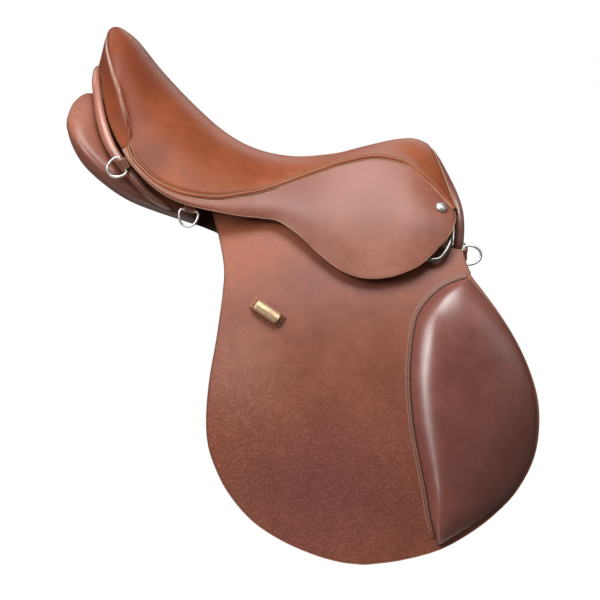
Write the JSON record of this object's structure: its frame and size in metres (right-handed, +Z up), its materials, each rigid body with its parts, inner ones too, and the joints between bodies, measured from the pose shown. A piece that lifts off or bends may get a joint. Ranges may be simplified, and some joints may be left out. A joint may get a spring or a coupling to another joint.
{
  "type": "saddle",
  "caption": "English all-purpose riding saddle in chestnut leather with knee pads, skirts, flaps that lift, girth straps, stirrup bars and rings.",
  "frame": {"origin": "on the centre plane between the flaps, level with the top of the horse's back under the seat", "axes": "+X forward to the pommel, +Y to the horse's left, +Z up"},
  "size_m": [0.585, 0.4746, 0.5302],
  "materials": {
    "chestnut_leather": "satin",
    "seat_leather": "polished",
    "panel_leather": "satin",
    "strap_leather": "matt",
    "piping_leather": "satin",
    "bright_steel": "polished",
    "brass_plate": "satin",
    "beech": "varnished",
    "webbing": "woven",
    "seat_foam": "open cell"
  },
  "bodies": {
    "saddle": {"dee_tab_front_left": "strap_leather", "dee_tab_front_right": "strap_leather", "dee_tab_rear_lower_left": "strap_leather", "dee_tab_rear_lower_right": "strap_leather", "dee_tab_rear_upper_left": "strap_leather", "dee_tab_rear_upper_right": "strap_leather", "flap_top_left": "chestnut_leather", "flap_top_right": "chestnut_leather", "girth_web": "webbing", "gullet_plate": "bright_steel", "panel_flap_left": "panel_leather", "panel_flap_right": "panel_leather", "panel_left": "panel_leather", "panel_right": "panel_leather", "pommel_facing": "chestnut_leather", "rear_roll": "chestnut_leather", "seat_cover": "seat_leather", "seat_foam": "seat_foam", "seat_webbing": "webbing", "seat_welt_left": "piping_leather", "seat_welt_right": "piping_leather", "skirt_left": "chestnut_leather", "skirt_nail_left": "bright_steel", "skirt_nail_right": "bright_steel", "skirt_right": "chestnut_leather", "stirrup_bar_left": "bright_steel", "stirrup_bar_right": "bright_steel", "sweat_flap_left": "strap_leather", "sweat_flap_right": "strap_leather", "tree_cantle": "beech", "tree_head": "beech", "tree_rail_left": "beech", "tree_rail_right": "beech"},
    "flap_right": {"flap_right": "chestnut_leather", "knee_pad_right": "chestnut_leather", "flap_keeper_right": "chestnut_leather", "keeper_plate_right": "brass_plate"},
    "skirt_lobe_right": {"skirt_lobe_right": "chestnut_leather"},
    "dee_rear_upper_right": {"dee_rear_upper_right": "bright_steel"},
    "dee_rear_lower_right": {"dee_rear_lower_right": "bright_steel"},
    "dee_front_right": {"dee_front_right": "bright_steel"},
    "bar_catch_right": {"bar_catch_right": "bright_steel"},
    "girth_strap_rear_right": {"girth_strap_rear_right": "strap_leather"},
    "girth_strap_middle_right": {"girth_strap_middle_right": "strap_leather"},
    "girth_strap_front_right": {"girth_strap_front_right": "strap_leather"},
    "buckle_guard_right": {"buckle_guard_right": "strap_leather"},
    "flap_left": {"flap_left": "chestnut_leather", "knee_pad_left": "chestnut_leather", "flap_keeper_left": "chestnut_leather", "keeper_plate_left": "brass_plate"},
    "skirt_lobe_left": {"skirt_lobe_left": "chestnut_leather"},
    "dee_rear_upper_left": {"dee_rear_upper_left": "bright_steel"},
    "dee_rear_lower_left": {"dee_rear_lower_left": "bright_steel"},
    "dee_front_left": {"dee_front_left": "bright_steel"},
    "bar_catch_left": {"bar_catch_left": "bright_steel"},
    "girth_strap_rear_left": {"girth_strap_rear_left": "strap_leather"},
    "girth_strap_middle_left": {"girth_strap_middle_left": "strap_leather"},
    "girth_strap_front_left": {"girth_strap_front_left": "strap_leather"},
    "buckle_guard_left": {"buckle_guard_left": "strap_leather"}
  },
  "joints": [
    {"name": "flap_lift_right", "type": "hinge", "parent": "saddle", "child": "flap_right", "pos_m": [0.104, -0.146, -0.009], "axis": [-0.9595, -0.0599, -0.2751], "range_deg": [0, 95]},
    {"name": "skirt_lift_right", "type": "hinge", "parent": "saddle", "child": "skirt_lobe_right", "pos_m": [0, -0.1375, 0.049], "axis": [-0.9891, 0, -0.1474], "range_deg": [0, 70]},
    {"name": "dee_swing_rear_upper_right", "type": "hinge", "parent": "saddle", "child": "dee_rear_upper_right", "pos_m": [-0.1668, -0.1248, 0.0768], "axis": [-0.65, 0, 0.76], "range_deg": [0, 100]},
    {"name": "dee_swing_rear_lower_right", "type": "hinge", "parent": "saddle", "child": "dee_rear_lower_right", "pos_m": [-0.084, -0.1286, 0.041], "axis": [-1, 0, 0], "range_deg": [0, 100]},
    {"name": "dee_swing_front_right", "type": "hinge", "parent": "saddle", "child": "dee_front_right", "pos_m": [0.227, -0.115, 0.05], "axis": [0.1903, 0, -0.9817], "range_deg": [0, 60]},
    {"name": "catch_turn_right", "type": "hinge", "parent": "saddle", "child": "bar_catch_right", "pos_m": [0.119, -0.1298, 0.038], "axis": [0, 0.8836, -0.4683], "range_deg": [0, 45]},
    {"name": "strap_swing_rear_right", "type": "hinge", "parent": "saddle", "child": "girth_strap_rear_right", "pos_m": [0.046, -0.13464, -0.01731], "axis": [-0.0056, -0.9729, 0.2312], "range_deg": [-4, 4]},
    {"name": "strap_swing_middle_right", "type": "hinge", "parent": "saddle", "child": "girth_strap_middle_right", "pos_m": [0.084, -0.13227, -0.00641], "axis": [-0.0056, -0.9729, 0.2312], "range_deg": [-4, 4]},
    {"name": "strap_swing_front_right", "type": "hinge", "parent": "saddle", "child": "girth_strap_front_right", "pos_m": [0.122, -0.1299, 0.00448], "axis": [-0.0056, -0.9729, 0.2312], "range_deg": [-4, 4]},
    {"name": "guard_slide_right", "type": "slide", "parent": "girth_strap_middle_right", "child": "buckle_guard_right", "axis": [-0.0013, -0.2312, -0.9729], "range_m": [-0.012, 0.018]},
    {"name": "flap_lift_left", "type": "hinge", "parent": "saddle", "child": "flap_left", "pos_m": [0.104, 0.146, -0.009], "axis": [0.9595, -0.0599, 0.2751], "range_deg": [0, 95]},
    {"name": "skirt_lift_left", "type": "hinge", "parent": "saddle", "child": "skirt_lobe_left", "pos_m": [0, 0.1375, 0.049], "axis": [0.9891, 0, 0.1474], "range_deg": [0, 70]},
    {"name": "dee_swing_rear_upper_left", "type": "hinge", "parent": "saddle", "child": "dee_rear_upper_left", "pos_m": [-0.1668, 0.1248, 0.0768], "axis": [0.65, 0, -0.76], "range_deg": [0, 100]},
    {"name": "dee_swing_rear_lower_left", "type": "hinge", "parent": "saddle", "child": "dee_rear_lower_left", "pos_m": [-0.084, 0.1286, 0.041], "axis": [1, 0, 0], "range_deg": [0, 100]},
    {"name": "dee_swing_front_left", "type": "hinge", "parent": "saddle", "child": "dee_front_left", "pos_m": [0.227, 0.115, 0.05], "axis": [-0.1903, 0, 0.9817], "range_deg": [0, 60]},
    {"name": "catch_turn_left", "type": "hinge", "parent": "saddle", "child": "bar_catch_left", "pos_m": [0.119, 0.1298, 0.038], "axis": [0, 0.8836, 0.4683], "range_deg": [0, 45]},
    {"name": "strap_swing_rear_left", "type": "hinge", "parent": "saddle", "child": "girth_strap_rear_left", "pos_m": [0.046, 0.13464, -0.01731], "axis": [0.0056, -0.9729, -0.2312], "range_deg": [-4, 4]},
    {"name": "strap_swing_middle_left", "type": "hinge", "parent": "saddle", "child": "girth_strap_middle_left", "pos_m": [0.084, 0.13227, -0.00641], "axis": [0.0056, -0.9729, -0.2312], "range_deg": [-4, 4]},
    {"name": "strap_swing_front_left", "type": "hinge", "parent": "saddle", "child": "girth_strap_front_left", "pos_m": [0.122, 0.1299, 0.00448], "axis": [0.0056, -0.9729, -0.2312], "range_deg": [-4, 4]},
    {"name": "guard_slide_left", "type": "slide", "parent": "girth_strap_middle_left", "child": "buckle_guard_left", "axis": [-0.0013, 0.2312, -0.9729], "range_m": [-0.012, 0.018]}
  ],
  "couplings": [
    {"joint": "strap_swing_rear_right", "follows": "strap_swing_front_right", "ratio": 1},
    {"joint": "strap_swing_middle_right", "follows": "strap_swing_front_right", "ratio": 1},
    {"joint": "strap_swing_rear_left", "follows": "strap_swing_front_left", "ratio": 1},
    {"joint": "strap_swing_middle_left", "follows": "strap_swing_front_left", "ratio": 1}
  ]
}
